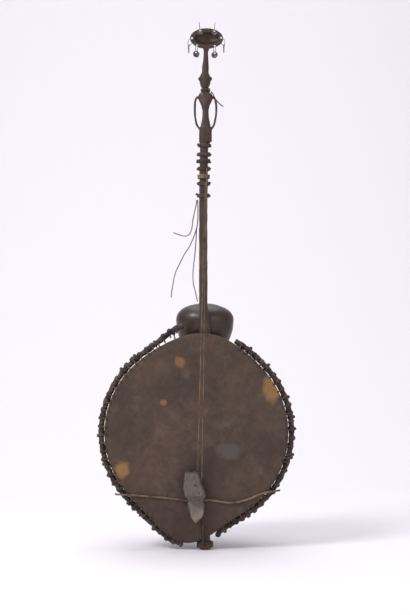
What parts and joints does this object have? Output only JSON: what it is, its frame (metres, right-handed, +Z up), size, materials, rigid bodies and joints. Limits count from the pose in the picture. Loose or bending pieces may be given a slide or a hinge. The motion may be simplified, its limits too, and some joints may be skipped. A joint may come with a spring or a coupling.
{
  "type": "harp lute",
  "caption": "Plucked harp lute: hide-covered gourd body, carved figure neck with sliding tuning collars, standing bridge, spoon finial with metal rattles.",
  "frame": {"origin": "middle of the flat end of the tail spike, which rests on the floor or in a stand", "axes": "+Z up along the neck, the hide soundtable faces -Y, +X to the right seen from the front"},
  "size_m": [0.4192, 0.239, 1.1018],
  "materials": {
    "neck_wood": "carved, dark and rubbed",
    "gourd": "smooth dried rind",
    "hide": "dry, scraped, fine-grained",
    "peg_wood": "whittled",
    "bridge_wood": "weathered, fibrous",
    "thong": "twisted, dry",
    "gut": "twisted hide string",
    "dark_metal": "dull, oxidised"
  },
  "bodies": {
    "instrument": {"neck_spike": "neck_wood", "gourd_shell": "gourd", "hide_soundtable": "hide", "lacing_left": "thong", "lacing_right": "thong", "peg_01": "peg_wood", "peg_02": "peg_wood", "peg_03": "peg_wood", "peg_04": "peg_wood", "peg_05": "peg_wood", "peg_06": "peg_wood", "peg_07": "peg_wood", "peg_08": "peg_wood", "peg_09": "peg_wood", "peg_10": "peg_wood", "peg_11": "peg_wood", "peg_12": "peg_wood", "peg_13": "peg_wood", "peg_14": "peg_wood", "peg_15": "peg_wood", "peg_16": "peg_wood", "peg_17": "peg_wood", "string_bridge": "bridge_wood", "bridge_cord": "gut", "tail_strap": "thong", "tail_binding": "thong", "binding_cord": "gut", "neck_cord": "thong", "neck_cord_end": "thong"},
    "tuning_collar_1": {"collar_1": "thong"},
    "tuning_collar_2": {"collar_2": "thong"},
    "tuning_collar_3": {"collar_3": "thong"},
    "tuning_collar_4": {"collar_4": "thong", "string_2": "gut"},
    "tuning_collar_5": {"collar_5": "thong", "string_1": "gut"},
    "tuning_collar_6": {"collar_6": "thong", "loose_string_1": "gut", "loose_string_2": "gut", "loose_string_3": "gut"},
    "left_ring_body": {"left_ring": "dark_metal"},
    "left_rattle": {"left_strip": "dark_metal"},
    "right_ring_body": {"right_ring": "dark_metal"},
    "right_rattle": {"right_strip": "dark_metal"},
    "lower_left_ring_body": {"lower_left_ring": "dark_metal"},
    "lower_left_rattle": {"lower_left_cup": "dark_metal"},
    "lower_right_ring_body": {"lower_right_ring": "dark_metal"},
    "lower_right_rattle": {"lower_right_cup": "dark_metal"},
    "top_left_ring_body": {"top_left_ring": "dark_metal"},
    "top_left_rattle": {"top_left_cup": "dark_metal"},
    "top_right_ring_body": {"top_right_ring": "dark_metal"},
    "top_right_rattle": {"top_right_cup": "dark_metal"}
  },
  "joints": [
    {"name": "collar_1_slide", "type": "slide", "parent": "instrument", "child": "tuning_collar_1", "axis": [0, 0, 1], "range_m": [-0.004, 0.0005]},
    {"name": "collar_2_slide", "type": "slide", "parent": "instrument", "child": "tuning_collar_2", "axis": [0, 0, 1], "range_m": [-0.0025, 0.0025]},
    {"name": "collar_3_slide", "type": "slide", "parent": "instrument", "child": "tuning_collar_3", "axis": [0, 0, 1], "range_m": [-0.0025, 0.0025]},
    {"name": "collar_4_slide", "type": "slide", "parent": "instrument", "child": "tuning_collar_4", "axis": [0, 0, 1], "range_m": [-0.0025, 0.0025], "deforming": ["string_2"]},
    {"name": "collar_5_slide", "type": "slide", "parent": "instrument", "child": "tuning_collar_5", "axis": [0, 0, 1], "range_m": [-0.0025, 0.0025], "deforming": ["string_1"]},
    {"name": "collar_6_slide", "type": "slide", "parent": "instrument", "child": "tuning_collar_6", "axis": [0, 0, 1], "range_m": [-0.0025, 0.0025]},
    {"name": "left_ring_turn", "type": "hinge", "parent": "instrument", "child": "left_ring_body", "pos_m": [-0.03105, -0.0225, 1.06115], "axis": [0.8213, -0.4226, -0.3833], "range_deg": [-12, 12]},
    {"name": "left_rattle_swing", "type": "hinge", "parent": "left_ring_body", "child": "left_rattle", "pos_m": [-0.03384, -0.02106, 1.05357], "axis": [0.4576, 0.8892, 0], "range_deg": [-20, 20]},
    {"name": "right_ring_turn", "type": "hinge", "parent": "instrument", "child": "right_ring_body", "pos_m": [0.03689, -0.0225, 1.0616], "axis": [0.8452, 0.4226, 0.3272], "range_deg": [-12, 12]},
    {"name": "right_rattle_swing", "type": "hinge", "parent": "right_ring_body", "child": "right_rattle", "pos_m": [0.03929, -0.0213, 1.05385], "axis": [-0.4472, 0.8944, 0], "range_deg": [-20, 20]},
    {"name": "lower_left_ring_turn", "type": "hinge", "parent": "instrument", "child": "lower_left_ring_body", "pos_m": [-0.01766, -0.0225, 1.04672], "axis": [0.935, 0.342, -0.0935], "range_deg": [-12, 12]},
    {"name": "lower_left_rattle_swing", "type": "hinge", "parent": "lower_left_ring_body", "child": "lower_left_rattle", "pos_m": [-0.01824, -0.02271, 1.04015], "axis": [-0.3435, 0.9391, 0], "range_deg": [-20, 20]},
    {"name": "lower_right_ring_turn", "type": "hinge", "parent": "instrument", "child": "lower_right_ring_body", "pos_m": [0.02009, -0.0225, 1.04526], "axis": [0.9385, -0.342, -0.0469], "range_deg": [-12, 12]},
    {"name": "lower_right_rattle_swing", "type": "hinge", "parent": "lower_right_ring_body", "child": "lower_right_rattle", "pos_m": [0.0198, -0.02239, 1.03866], "axis": [0.3424, 0.9396, 0], "range_deg": [-20, 20]},
    {"name": "top_left_ring_turn", "type": "hinge", "parent": "instrument", "child": "top_left_ring_body", "pos_m": [-0.01133, -0.02679, 1.09268], "axis": [-0.9904, 0, -0.1382], "range_deg": [0, 12]},
    {"name": "top_left_rattle_swing", "type": "hinge", "parent": "top_left_ring_body", "child": "top_left_rattle", "pos_m": [-0.01014, -0.02679, 1.08416], "axis": [0, 1, 0], "range_deg": [-20, 20]},
    {"name": "top_right_ring_turn", "type": "hinge", "parent": "instrument", "child": "top_right_ring_body", "pos_m": [0.02021, -0.02681, 1.09173], "axis": [-0.9957, 0, 0.0926], "range_deg": [0, 12]},
    {"name": "top_right_rattle_swing", "type": "hinge", "parent": "top_right_ring_body", "child": "top_right_rattle", "pos_m": [0.01941, -0.02681, 1.08317], "axis": [0, 1, 0], "range_deg": [-20, 20]}
  ]
}
